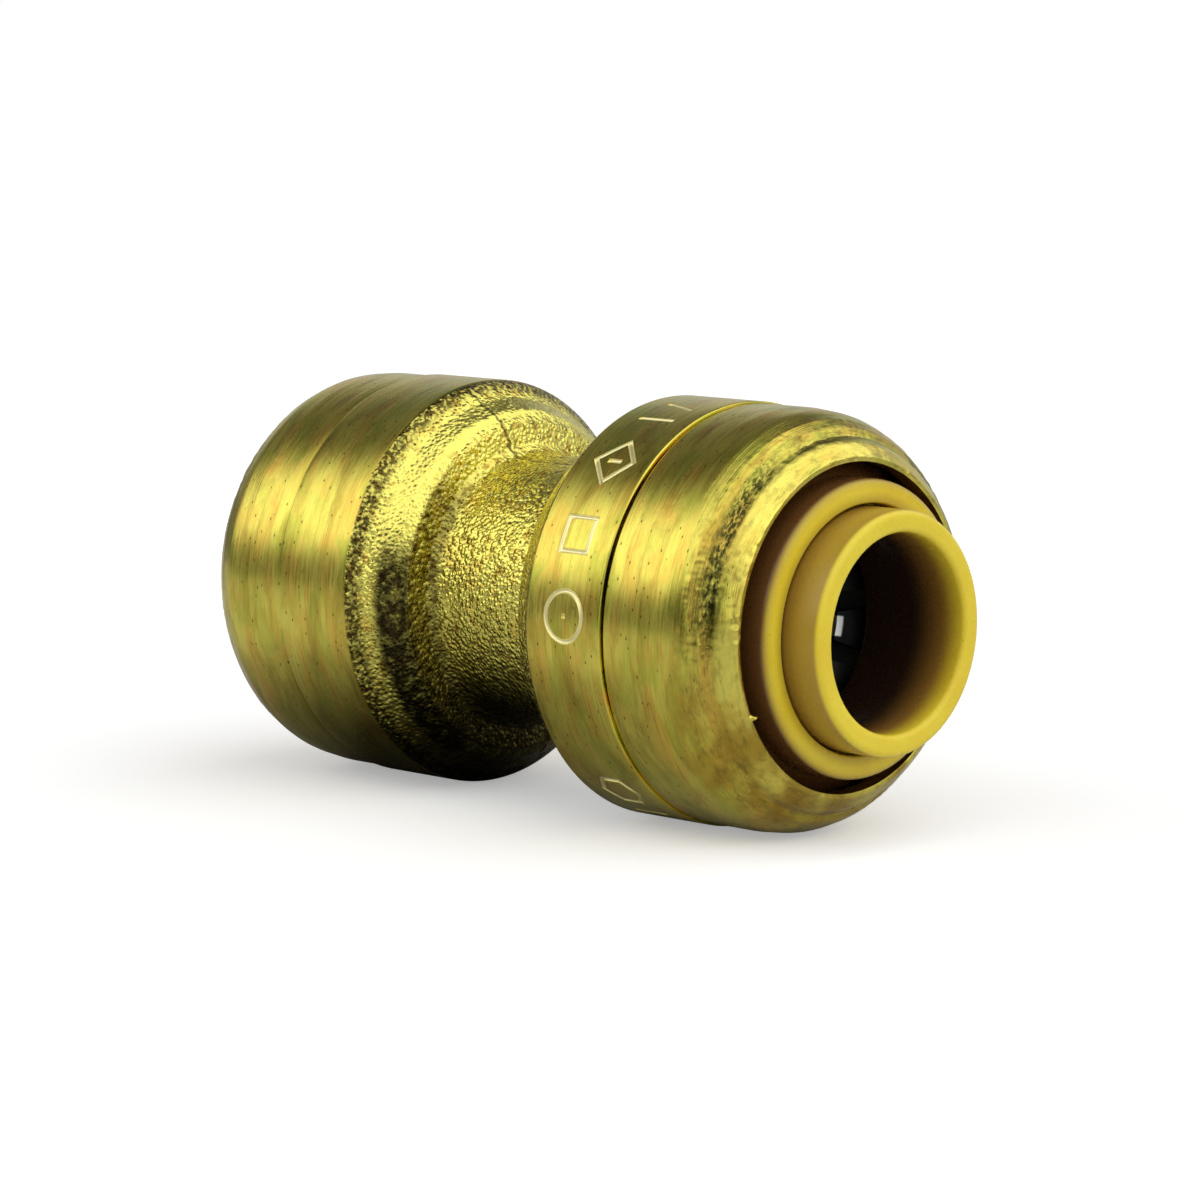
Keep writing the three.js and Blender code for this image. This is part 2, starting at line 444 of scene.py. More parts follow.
BRASS_LIGHT = (0.80, 0.70, 0.12, 1)
BRASS_WARM = (0.80, 0.54, 0.09, 1)
BRASS_GREEN = (0.50, 0.54, 0.07, 1)
BRASS_BROWN = (0.40, 0.26, 0.035, 1)
# a painted highlight for a cap's nose
BRASS_NOSE_HIGHLIGHT = (0.88, 0.77, 0.15, 1)
# dark specks and painted shade, also used for dark mottling
BRASS_GRIME_AND_SHADE = (0.045, 0.045, 0.012, 1)
BRASS_DARK = (0.05, 0.03, 0.008, 1)
# painted shade on the forging
BRASS_PAINTED_SHADE = (0.02, 0.014, 0.007, 1)
BRASS_PALE = (0.90, 0.82, 0.17, 1)
BRASS_FRESH = (1.0, 0.92, 0.48, 1)

TAN_LIGHT = (0.90, 0.72, 0.05, 1)
TAN_DARK = (0.84, 0.62, 0.035, 1)
# colours of painted shade on the amber plastic
AMBER_SIDE_SHADE = (0.38, 0.22, 0.028, 1)
AMBER_RED_SHADE = (0.20, 0.085, 0.018, 1)
AMBER_DEEP_SHADE = (0.10, 0.035, 0.012, 1)
AMBER_MOUTH_SHADE = (0.36, 0.17, 0.032, 1)
AMBER_BORE_SHADE = (0.022, 0.010, 0.007, 1)

GREY_LIGHT = (0.035, 0.036, 0.038, 1)
GREY_DARK = (0.02, 0.021, 0.022, 1)
# painted shade on the steel, in two dark tones
STEEL_SHADED = (0.02, 0.02, 0.02, 1)
STEEL_SHADED_PATCH = (0.012, 0.012, 0.011, 1)
# a painted glint for one tooth's tip
STEEL_GLINT = (0.9, 0.91, 0.9, 1)
RUBBER_BLACK = (0.012, 0.012, 0.013, 1)
RUBBER_DUSTY = (0.04, 0.04, 0.038, 1)

# How deep the bumps of a material are, in metres, and how much deeper the forged skin's are.
BUMP = 0.00001
FORGED_DEPTH = 5.5

# A noise's scale, and the two numbers of lathe_place, are in grains to a metre.


def brass_colour(n, along, around):
    """Mottled brass, in patches drawn out along the turning marks."""
    tint = n.noise(n.lathe_place(along, around), 1.0, 4.0, 0.6, 0.3)
    green = n.noise(n.lathe_place(along * 0.5, around * 0.7), 1.3, 4.0, 0.6, 0.6)
    brown = n.noise(n.lathe_place(along * 0.7, around * 0.6), 1.1, 5.0, 0.68, 0.5)
    colour = n.mix(n.spread(tint, 0.45, 0.6, 0.0, 0.9), BRASS_LIGHT, BRASS_WARM)
    colour = n.mix(n.spread(green, 0.47, 0.63, 0.0, 0.75), colour, BRASS_GREEN)
    return n.mix(n.spread(brown, 0.5, 0.7, 0.0, 0.75), colour, BRASS_BROWN)


def turned_finish(n):
    """Colour, roughness and height of turned and brushed brass."""
    streaks = n.noise(n.lathe_place(9000, 340), 1.0, 4.0, 0.7)
    broad = n.noise(n.lathe_place(2600, 150), 1.0, 2.0, 0.5)
    flecks = n.cells(n.lathe_place(2600, 1300))
    colour = brass_colour(n, 900, 300)
    colour = n.mix(n.spread(streaks, 0.48, 0.32, 0.0, 0.6), colour, BRASS_BROWN)
    colour = n.mix(n.spread(flecks, 0.14, 0.07, 0.0, 0.85), colour, BRASS_DARK)
    colour = cap_stains_and_painted_light(n, colour)
    rough = n.spread(streaks, 0.3, 0.75, 0.16, 0.3)
    height = n.total(streaks, n.product(broad, 1.5))
    return colour, rough, height


def cap_stains_and_painted_light(n, colour):
    """Dark specks and painted shade in a cap's groove, a painted highlight on its nose, painted
    shade on its underside and dark mottling near its end.
    """
    away, radius = n.away(), n.radius()
    grime_and_shade = n.noise(n.lathe_place(4200, 2400), 1.0, 4.0, 0.7)
    mottle = n.noise(n.lathe_place(2100, 1100), 1.0, 4.0, 0.7, 0.4)
    patches = n.noise(n.place, 330.0, 3.0, 0.6)

    # Dark specks with painted shade in the groove, thickest on one side.
    in_groove = n.product(
        n.between(away, GRIME_AND_SHADE_X - 0.6, GRIME_AND_SHADE_X - 0.15, GRIME_AND_SHADE_X + 0.1, GRIME_AND_SHADE_X + 0.5),
        n.fade(radius, CAP_MOUTH_R, CAP_MOUTH_R + 0.3),
    )
    near_side = n.rise(n.facing(GRIME_AND_SHADE_AT), 0.76, 0.95)
    thick = n.math("MAXIMUM", near_side, n.spread(patches, 0.5, 0.66, 0.15, 0.9))
    grime_and_shade = n.product(in_groove, n.spread(grime_and_shade, 0.38, 0.56, 0.3, 1.0), thick)
    colour = n.mix(grime_and_shade, colour, BRASS_GRIME_AND_SHADE)

    # A painted highlight brightens the nose in patches.
    on_nose = n.fade(away, GRIME_AND_SHADE_X + 0.2, GRIME_AND_SHADE_X + 0.4)
    colour = n.mix(n.product(on_nose, n.spread(patches, 0.62, 0.45), 0.7), colour, BRASS_NOSE_HIGHLIGHT)

    # Painted shade browns the underside beyond the band, in patches.
    below = n.fade(n.parts(n.place)[2], 1.5, -5)
    beyond_band = n.fade(away, CAP_BAND_END, CAP_BAND_END + 2)
    brown = n.product(below, beyond_band, n.spread(patches, 0.4, 0.6, 0.15, 0.85))
    colour = n.mix(brown, colour, BRASS_BROWN)

    near_end = n.fade(away, CAP_BAND_END + 1, CAP_BAND_END + 2.4)
    return n.mix(n.product(near_end, n.spread(mottle, 0.48, 0.66, 0.0, 0.4)), colour, BRASS_GRIME_AND_SHADE)


def forged_finish(n):
    """Colour, roughness and height of the forging's rough skin."""
    fine = n.noise(n.place, 4200.0, 1.5, 0.5)
    coarse = n.noise(n.place, 2300.0, 2.0, 0.5)
    grains = n.cells(n.place, 4300.0)
    pits = n.cells(n.place, 2700.0)
    tint = n.noise(n.place, 1300.0, 3.0, 0.6)
    colour = n.mix(n.spread(tint, 0.5, 0.8), BRASS_PALE, BRASS_WARM)
    colour = n.mix(n.spread(coarse, 0.46, 0.34, 0.0, 0.8), colour, BRASS_BROWN)
    colour = n.mix(n.spread(pits, 0.2, 0.08, 0.0, 0.9), colour, BRASS_DARK)
    # Painted shade darkens the shoulder's rim.
    rim = n.fade(n.away(), SHOULDER_X + 0.05, SHOULDER_X + 0.4)
    colour = n.mix(n.product(rim, n.spread(fine, 0.62, 0.45, 0.25, 0.92)), colour, BRASS_DARK)
    # A painted highlight makes the top of the shoulder's slope pale, and its bumps are made
    # smoother there.
    top_highlight = n.product(
        n.between(n.away(), RIDGE_X, RIDGE_X + 0.3, SHOULDER_X - 0.25, SHOULDER_X + 0.05),
        n.rise(n.facing(UNDERSIDE), 0.0, -0.6),
    )
    colour = n.mix(n.product(top_highlight, 0.75), colour, BRASS_PALE)
    colour = forging_shade_and_parting(n, colour, coarse)
    rough = n.spread(fine, 0.3, 0.7, 0.14, 0.26)
    height = n.total(n.product(fine, 0.6), coarse, n.spread(grains, 0.7, 0.1, 0.0, 0.9))
    height = n.math("SUBTRACT", height, n.spread(pits, 0.24, 0.0, 0.0, 0.7))
    height = n.product(height, n.math("SUBTRACT", 1.0, n.product(top_highlight, 0.55)))
    return colour, rough, height


def forging_shade_and_parting(n, colour, coarse):
    """Painted shade by the left shoulder, under the neck and in the fillets, and the parting."""
    x, under = n.parts(n.place)[0], n.facing(UNDERSIDE)
    # Painted shade in the hollow by the left shoulder and along the underside.
    hollow = n.product(
        n.between(x, 0.05 - SHOULDER_X, 0.65 - SHOULDER_X, -RIDGE_X - 0.05, 0.2 - RIDGE_X),
        n.rise(n.facing(HOLLOW_AT), 0.62, 0.84),
    )
    scale = n.math("MAXIMUM", hollow, n.product(n.rise(under, 0.5, 0.85), 0.8))
    colour = n.mix(n.product(scale, n.spread(coarse, 0.7, 0.5, 0.7, 0.97)), colour, BRASS_PAINTED_SHADE)

    # Painted shade in the fillets, all round but the very top.
    fillet = n.between(n.away(), FLARE_X - 0.35, FLARE_X + 0.2, RIDGE_X - 0.06, RIDGE_X + 0.04)
    fillet_shade = n.product(fillet, n.rise(under, -0.93, -0.6), n.spread(coarse, 0.7, 0.3, 0.5, 0.85))
    colour = n.mix(fillet_shade, colour, BRASS_DARK)

    # A fine brown line is left where the two halves of the die met.
    wander = n.spread(coarse, 0.3, 0.7, -0.12 * MM, 0.12 * MM)
    off = n.math("ABSOLUTE", n.total(n.beside(PARTING), wander))
    return n.mix(n.product(n.fade(off, 0.13, 0.05), 0.75), colour, BRASS_DARK)


def turned_brass():
    n = Finish("turned_brass")
    colour, rough, height = turned_finish(n)
    n.link(colour, n.shader.inputs["Base Color"])
    n.link(rough, n.shader.inputs["Roughness"])
    n.link(n.bump(height, BUMP), n.shader.inputs["Normal"])
    n.shader.inputs["Metallic"].default_value = 1.0
    return n.material


def forged_brass():
    """Rough between the two turned bands, turned outside them, and fresh in the stamped marks."""
    n = Finish("forged_brass")
    colour, rough, height = turned_finish(n)
    radius, away = n.radius(), n.away()
    in_mark = n.product(
        n.spread(radius, (FLANGE_R - 0.012) * MM, (FLANGE_R - 0.03) * MM),
        n.spread(radius, (FLANGE_R - 0.3) * MM, (FLANGE_R - 0.25) * MM),
        n.spread(away, (FORGED_END + 0.5) * MM, (FORGED_END + 0.6) * MM),
        n.spread(away, (SEAM_X - 0.3) * MM, (SEAM_X - 0.4) * MM),
    )
    colour = n.mix(in_mark, colour, BRASS_FRESH)
    rough = n.mix_value(in_mark, rough, 0.42)

    rough_zone = n.spread(away, FORGED_END * MM, (FORGED_END - 0.08) * MM)
    forged_colour, forged_rough, forged_height = forged_finish(n)
    height = n.mix_value(rough_zone, height, n.product(forged_height, FORGED_DEPTH))
    n.link(n.mix(rough_zone, colour, forged_colour), n.shader.inputs["Base Color"])
    n.link(n.mix_value(rough_zone, rough, forged_rough), n.shader.inputs["Roughness"])
    n.link(n.bump(height, BUMP), n.shader.inputs["Normal"])
    n.shader.inputs["Metallic"].default_value = 1.0
    return n.material


def plastic_material(name, light, dark, roughness, amber=False):
    """A moulded plastic with fine specks. Amber plastic lets light in, and has painted shade on its
    sides, rims and bore.
    """
    n = Finish(name)
    cloud = n.noise(n.place, 260.0, 3.0, 0.5)
    fine = n.noise(n.place, 2400.0, 3.0, 0.6)
    specks = n.cells(n.place, 1500.0)
    speck_colour = tuple(0.18 * c for c in dark[:3]) + (1,)
    colour = n.mix(n.spread(cloud, 0.35, 0.7), light, dark)
    colour = n.mix(n.spread(specks, 0.06, 0.02, 0.0, 0.8), colour, speck_colour)
    if amber:
        colour = amber_painted_shade(n, colour)
        n.shader.inputs["Subsurface Weight"].default_value = 0.1
        n.shader.inputs["Subsurface Radius"].default_value = (1.0, 0.5, 0.15)
        n.shader.inputs["Subsurface Scale"].default_value = 1.2 * MM
    rough = n.spread(fine, 0.3, 0.7, roughness - 0.05, roughness + 0.07)
    n.link(colour, n.shader.inputs["Base Color"])
    n.link(rough, n.shader.inputs["Roughness"])
    n.link(n.bump(n.total(fine, cloud), BUMP, 0.5), n.shader.inputs["Normal"])
    n.shader.inputs["Specular IOR Level"].default_value = 0.35
    return n.material


def amber_painted_shade(n, colour):
    """Painted shade on the sides, rims and bore of the release collars and their retainers."""
    away, radius = n.away(), n.radius()
    front = RETAINER_FRONT
    near_end = n.fade(away, COLLAR_END - 0.1, COLLAR_END - 0.35)
    in_bore = n.fade(radius, COLLAR_BORE_R + 0.25, COLLAR_BORE_R + 0.1)
    near_wall = n.between(radius, COLLAR_R - 0.2, COLLAR_R - 0.03, COLLAR_R, COLLAR_R + 0.1)

    # Painted shade on the collar's side, reddest where it meets the retainer.
    side = n.mix(n.fade(away, front, front + 1.4), AMBER_RED_SHADE, AMBER_SIDE_SHADE)
    colour = n.mix(n.product(near_wall, near_end, 0.85), colour, side)

    # Painted shade on the retainer's face round its bore, where the collar stands.
    face = n.between(away, front - 0.2, front - 0.05, front + 0.1, front + 0.2)
    inner = n.product(n.fade(radius, RETAINER_BORE_R + 0.6, RETAINER_BORE_R + 0.05), face)
    colour = n.mix(n.product(inner, 0.4), colour, AMBER_SIDE_SHADE)

    # Painted shade on the retainer's outer side, in the gap under the cap's lip.
    outer = n.fade(radius, RETAINER_NOSE_R - 0.55, RETAINER_NOSE_R - 0.15)
    shade = n.product(outer, n.fade(away, front + 0.2, front - 0.2))
    colour = n.mix(n.product(shade, 0.55), colour, AMBER_RED_SHADE)

    # Darker painted shade on the retainer's side just behind its front.
    rim = n.fade(radius, RETAINER_NOSE_R - 0.35, RETAINER_NOSE_R - 0.05)
    rim = n.product(rim, n.fade(away, front - 0.05, front - 0.35))
    colour = n.mix(n.product(rim, 0.95), colour, AMBER_DEEP_SHADE)

    # Painted shade in the collar's bore, darkening with depth.
    mouth = n.product(in_bore, n.fade(away, COLLAR_END - 0.1, COLLAR_END - 1.55))
    colour = n.mix(n.product(mouth, 0.95), colour, AMBER_MOUTH_SHADE)
    deep = n.product(in_bore, n.fade(away, COLLAR_END - 0.55, COLLAR_END - 3.45))
    return n.mix(n.product(deep, 0.98), colour, AMBER_BORE_SHADE)


def steel_material():
    """The steel is painted almost black as shade, with a painted glint on the tip of one tooth."""
    n = Finish("stainless")
    brushed = n.noise(n.scaled((600, 2600, 600)), 1.0, 3.0, 0.6)
    stain = n.noise(n.place, 700.0, 3.0, 0.5)
    x, y = n.parts(n.place)[:2]
    # A painted glint on the tip of the one tooth at the tooth phase.
    glint = n.product(
        n.fade(n.math("ABSOLUTE", n.beside(TOOTH_PHASE)), 0.55, 0.45),
        n.rise(n.product(x, y), 0.0, 1e-9),
        n.fade(n.radius(), TOOTH_TIP_R + 0.33, TOOTH_TIP_R + 0.23),
    )
    # Painted shade makes the steel almost black, in patchy tones.
    colour = n.mix(n.spread(stain, 0.4, 0.7), STEEL_SHADED, STEEL_SHADED_PATCH)
    n.link(n.mix(glint, colour, STEEL_GLINT), n.shader.inputs["Base Color"])
    n.link(n.spread(brushed, 0.3, 0.7, 0.4, 0.55), n.shader.inputs["Roughness"])
    n.link(n.bump(brushed, 0.8 * BUMP, 0.6), n.shader.inputs["Normal"])
    n.shader.inputs["Metallic"].default_value = 1.0
    return n.material


def rubber_material():
    """Black rubber with a little dust."""
    n = Finish("seal_rubber")
    dust = n.noise(n.place, 1500.0, 4.0, 0.6)
    colour = n.mix(n.spread(dust, 0.4, 0.75), RUBBER_BLACK, RUBBER_DUSTY)
    n.link(colour, n.shader.inputs["Base Color"])
    n.link(n.spread(dust, 0.3, 0.7, 0.32, 0.52), n.shader.inputs["Roughness"])
    n.link(n.bump(dust, BUMP, 0.5), n.shader.inputs["Normal"])
    return n.material


MATERIALS = {
    "forged_brass": forged_brass(),
    "turned_brass": turned_brass(),
    "tan_plastic": plastic_material("tan_plastic", TAN_LIGHT, TAN_DARK, 0.25, amber=True),
    "grey_plastic": plastic_material("grey_plastic", GREY_LIGHT, GREY_DARK, 0.45),
    "stainless": steel_material(),
    "seal_rubber": rubber_material(),
}


def finish_piece(piece, node, body, slot):
    """Gives the piece its material, hides the CAD part of the node it stands for, and attaches it
    to the body it moves with, if any.
    """
    piece.data.materials.clear()
    piece.data.materials.append(MATERIALS[slot])
    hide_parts(node)
    if body:
        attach(piece, body)


# ---- the body ------------------------------------------------------------------------------------


def body_outline():
    outside = [
        (NECK_END, NECK_R, 1.5),
        (FLARE_X, FLARE_R, 0.6),
        (FOOT_X, FOOT_R, 0.25),
        (RIDGE_X - 0.05, RIDGE_R - 0.1, 0.1),
        (RIDGE_X + 0.08, RIDGE_R, 0.07),
        (SLOPE_X, SLOPE_R, 0.5),
        (SHOULDER_X, SHOULDER_R, 1.2),
        (RIM_X, RIM_R, 0.9),
        (FORGED_END, FLANGE_R - 0.03, 0.1),
        (FORGED_END + 0.1, FLANGE_R, 0.1),
        (SEAM_X, FLANGE_R, 0.1),
        (SEAM_X, SPIGOT_R, 0.1),
        (SPIGOT_END, SPIGOT_R, 0.15),
    ]
    inside = [
        (STOP_HALF, STOP_R, 0.15),
        (STOP_HALF, SOCKET_R, 0.1),
        (GLAND_X, SOCKET_R, 0.15),
        (GLAND_X, GLAND_R, 0.1),
        (POCKET_X, GLAND_R, 0.15),
        (POCKET_X, POCKET_R, 0.1),
        (SPIGOT_END, POCKET_R, 0.15),
    ]
    left_inside = [(-x, r, k) for x, r, k in inside[::-1]]
    left_outside = [(-x, r, k) for x, r, k in outside]
    return left_inside + inside + outside[::-1] + left_outside


def forging_relief(x, r, angle):
    """The rough skin of the forging between the two turned bands, with its parting line."""
    far = np.abs(x)
    skin = smoothstep(FORGED_END, FORGED_END - 0.3, far) * (r > NECK_R - 0.5)
    off = np.minimum(
        np.abs(angle_from(angle, PARTING)), np.abs(angle_from(angle, PARTING + math.pi))
    )
    trimmed = smoothstep(PARTING_FLAT + 0.03, PARTING_FLAT - 0.03, off)
    trimmed = trimmed * smoothstep(RIDGE_X - 0.1, RIDGE_X - 0.9, far)
    fine = 0.012 * grain(x, r, angle, 0.9, 2, seed=3)
    fine = fine + 0.022 * grain(x, r, angle, 0.3, 2, seed=8)
    swell = 0.05 * grain(x, r, angle, 5.0, 1, seed=1)
    flash = 0.06 * hump(off * r, 0, 0.13) * smoothstep(RIDGE_X - 0.5, RIDGE_X + 0.1, far)
    flat = NECK_R * (np.cos(PARTING_FLAT) / np.cos(np.minimum(off, PARTING_FLAT)) - 1)
    return skin * (fine * (1 - trimmed) + swell + trimmed * flat + flash)


def body_step(x, r):
    rough = abs(x) < FORGED_END + 0.1 and r > NECK_R - 0.6
    return ROUGH_STEP if rough else SMOOTH_STEP


def polygon(sides, width, height, start=0.0):
    turns = [start + 2 * math.pi * k / sides for k in range(sides)]
    return [(width / 2 * math.cos(t), height / 2 * math.sin(t)) for t in turns]


# The stamped marks: where each stands round the band, and its strokes as (closed, points), with
# the points in millimetres along the axis and round the band. They stand for nothing.
STAMPED_MARKS = (
    (103, [(False, [(-1.0, -0.35), (1.1, 0.35)])]),
    (112, [(False, [(-1.2, 0.0), (1.1, 0.0)])]),
    (131, [(True, polygon(4, 2.5, 2.7)), (False, [(-0.45, 0.0), (0.45, 0.0)])]),
    (154, [(True, polygon(4, 2.5, 2.5, math.pi / 4))]),
    (176, [(True, polygon(28, 2.4, 2.5)), (False, [(-0.12, 0.0), (0.12, 0.0)])]),
    (232, [(True, polygon(6, 2.3, 2.4))]),
    (246, [(False, [(-1.1, 0.0), (1.1, 0.0)])]),
)


def on_band(x, arc, centre):
    """A place on the band, that far along the axis and round it from the mark's centre.

    A stroke's middle lies a little proud of the band, so its lower part cuts a shallow groove.
    """
    angle = math.radians(centre) + arc / FLANGE_R
    r = FLANGE_R + 0.2 * STROKE
    return Vector((MARKS_X + x, r * math.cos(angle), r * math.sin(angle)))


def subdivided(points, closed, longest=0.4):
    """The path with no side longer than that."""
    out = []
    for i, a in enumerate(points):
        if i == len(points) - 1 and not closed:
            out.append(a)
            break
        b = points[(i + 1) % len(points)]
        parts = max(1, math.ceil(math.dist(a, b) / longest))
        out += [
            (a[0] + (b[0] - a[0]) * k / parts, a[1] + (b[1] - a[1]) * k / parts)
            for k in range(parts)
        ]
    return out


def add_stroke(bm, path, closed, sides=10):
    """A round tube along the path, closed on itself or with rounded ends."""
    n = len(path)
    rings = []
    for i, p in enumerate(path):
        before = path[i - 1] if closed or i else p
        after = path[(i + 1) % n] if closed or i < n - 1 else p
        first, second = (p - before), (after - p)
        along = (first.normalized() + second.normalized()).normalized()
        mitre = 1 / max(0.5, along.dot(second.normalized() if second.length else along))
        up = Vector((0, p.y, p.z)).normalized()
        out = along.cross(up).normalized() * mitre
        ring = []
        for k in range(sides):
            turn = 2 * math.pi * k / sides
            offset = STROKE * (math.cos(turn) * out + math.sin(turn) * up)
            ring.append(bm.verts.new((p + offset) * MM))
        rings.append(ring)
    for i in range(n if closed else n - 1):
        a, b = rings[i], rings[(i + 1) % n]
        for k in range(sides):
            k2 = (k + 1) % sides
            bm.faces.new((a[k], b[k], b[k2], a[k2]))
    if not closed:
        bm.faces.new(rings[0])
        bm.faces.new(rings[-1][::-1])


def stamp_marks(body):
    bm = bmesh.new()
    for centre, strokes in STAMPED_MARKS:
        for closed, points in strokes:
            path = [on_band(x, arc, centre) for x, arc in subdivided(points, closed)]
            add_stroke(bm, path, closed)
    bmesh.ops.recalc_face_normals(bm, faces=bm.faces)
    mesh = bpy.data.meshes.new("strokes")
    bm.to_mesh(mesh)
    bm.free()
    cut(body, link("strokes", mesh))


def make_body():
    body = turned("coupling_body", body_outline(), BODY_COLUMNS, body_step, forging_relief)
    stamp_marks(body)
    finish_piece(body, "body", "root", "forged_brass")


# ---- the end pieces ------------------------------------------------------------------------------


def cap_outline():
    return [
        (CAP_BACK, CAP_BORE_R, 0.1),
        (CAP_BORE_END, CAP_BORE_R, 0.6),
        (CAP_MOUTH_X, CAP_MOUTH_R + 0.02, 0.3),
        (CAP_LIP_X, CAP_MOUTH_R, 0.05),
        (CAP_LIP_X, CAP_LIP_R, 0.07),
        (CAP_NOSE_X, CAP_NOSE_R, 0.9),
        (CAP_GROOVE_X, CAP_GROOVE_R, 0.12),
        (CAP_STEP_X, CAP_STEP_R, 0.15),
        (CAP_EDGE_X, CAP_EDGE_R, 0.08),
        (CAP_SHOULDER_X, CAP_SHOULDER_R, 1.6),
        (CAP_BAND_END, CAP_R, 1.6),
        (CAP_BACK, CAP_R, 0.2),
    ]


def cap_relief(x, r, angle):
    """Tool chatter by the groove, a slightly uneven lip with one burr, and an uneven seam."""
    outer = (r > CAP_MOUTH_R + 0.1) * smoothstep(SEAM_X + 2, SEAM_X + 3, x)
    groove = hump(x, CAP_GROOVE_X - 0.02, 0.3) + 0.6 * hump(x, CAP_GROOVE_X - 0.62, 0.3)
    specks = grain(x, r, angle, 0.28, 2, seed=5) + 0.5 * grain(x * 0.4, r, angle, 0.2, 1, seed=9)
    patches = 0.5 + 0.8 * grain(x, r, angle, 1.8, 1, seed=6)
    specks = specks + 0.35 * grain(x * 0.5, r, angle, 0.5, 1, seed=12)
    chatter = CHATTER * groove * specks * patches
    lip = hump(x, CAP_LIP_X, 0.25) * grain(x * 0.2, r, angle, 0.35, 1, seed=7)
    lip = lip + 0.35 * hump(x, CAP_NOSE_X + 0.15, 0.4) * grain(x, r, angle, 0.25, 1, seed=13)
    burr = hump(x, CAP_LIP_X, 0.12) * hump(r, CAP_MOUTH_R, 0.12)
    burr = 0.35 * burr * hump(angle_from(angle, BURR_AT), 0, 0.013)
    back = smoothstep(CAP_BACK + 0.1, CAP_BACK, x)
    seam = SEAM_CLOSED - SEAM_GAP * hump(angle_from(angle, SEAM_GAP_AT), 0, 0.45)
    return outer * (chatter + 0.03 * lip) + back * seam + burr


def cap_step(x, r):
    return CHATTER_STEP if x > CHATTER_FROM and r > CAP_MOUTH_R + 0.05 else CAP_STEP


def retainer_outline():
    return [
        (RETAINER_BACK, RETAINER_POCKET_R, 0.1),
        (RETAINER_STOP, RETAINER_POCKET_R, 0.1),
        (RETAINER_STOP, RETAINER_BORE_R, 0.1),
        (RETAINER_FRONT, RETAINER_BORE_R, 0.12),
        (RETAINER_FRONT, RETAINER_NOSE_R, 0.4),
        (RETAINER_NECK, RETAINER_NOSE_R, 0.2),
        (RETAINER_HEEL_END, RETAINER_HEEL_R, 0.3),
        (RETAINER_BACK, RETAINER_HEEL_R, 0.15),
    ]


def collar_outline():
    return [
        (COLLAR_TIP, COLLAR_BORE_R, 0.15),
        (COLLAR_END, COLLAR_BORE_R, 0.28),
        (COLLAR_END, COLLAR_R, 0.35),
        (COLLAR_LIP_FRONT, COLLAR_R, 0.1),
        (COLLAR_LIP_FRONT, COLLAR_LIP_R, 0.12),
        (COLLAR_LIP_BACK, COLLAR_LIP_R, 0.15),
        (COLLAR_LIP_BACK, COLLAR_R, 0.1),
        (COLLAR_TIP + 0.8, COLLAR_R, 0.2),
        (COLLAR_TIP, COLLAR_TIP_R, 0.15),
    ]


def moulded_relief(x, r, angle):
    """Moulded plastic is never quite round."""
    return 0.02 * grain(x, r, angle, 5.0, 1, seed=4)


def grab_outline():
    back = GRAB_FACE - GRAB_THICK
    return [
        (TOOTH_TIP_X - 0.2, TOOTH_TIP_R, 0.05),
        (TOOTH_TIP_X + 0.2, TOOTH_TIP_R, 0.05),
        (GRAB_FACE, GRAB_BEND_R, 0.4),
        (GRAB_FACE, GRAB_R, 0.08),
        (back, GRAB_R, 0.08),
        (back, GRAB_BEND_R, 0.4),
    ]


def punch_slots(ring, side):
    """Cuts the slots between the teeth out of the dished washer."""
    bm = bmesh.new()
    height = GRAB_BEND_R - 0.1
    for i in range(TEETH):
        spin = Matrix.Rotation(TOOTH_PHASE + (i + 0.5) * 2 * math.pi / TEETH, 4, "X")
        size = Matrix.Diagonal((4 * MM, height * MM, TOOTH_SLOT * MM, 1))
        shift = Matrix.Translation((TOOTH_TIP_X * MM, height / 2 * MM, 0))
        bmesh.ops.create_cube(bm, size=1, matrix=spin @ shift @ size)
    bmesh.ops.bevel(
        bm, geom=bm.edges[:], offset=0.12 * MM, segments=2, affect="EDGES", profile=0.5
    )
    if side < 0:
        half_turn = Matrix.Rotation(math.pi, 3, "Z")
        bmesh.ops.rotate(bm, verts=bm.verts, cent=(0, 0, 0), matrix=half_turn)
    mesh = bpy.data.meshes.new("slots")
    bm.to_mesh(mesh)
    bm.free()
    cut(ring, link("slots", mesh))


def o_ring_outline():
    sides = 24
    turns = [2 * math.pi * k / sides for k in range(sides)]
    size = ORING_SECTION
    return [(ORING_X + size * math.cos(t), ORING_R + size * math.sin(t), 0) for t in turns]


def protector_outline():
    return [
        (PROTECTOR_BACK, PROTECTOR_BORE_R, 0.1),
        (PROTECTOR_FRONT - 0.45, PROTECTOR_BORE_R, 0.2),
        (PROTECTOR_FRONT, PROTECTOR_BORE_R + 0.45, 0.1),
        (PROTECTOR_FRONT, PROTECTOR_R, 0.12),
        (PROTECTOR_BACK, PROTECTOR_R, 0.12),
    ]


def seat_outline():
    return [
        (SEAT_BACK, SEAT_BACK_R, 0.1),
        (SEAT_FRONT, SEAT_FRONT_R, 0.12),
        (SEAT_FRONT, SEAT_R, 0.12),
        (SEAT_BACK, SEAT_R, 0.12),
    ]


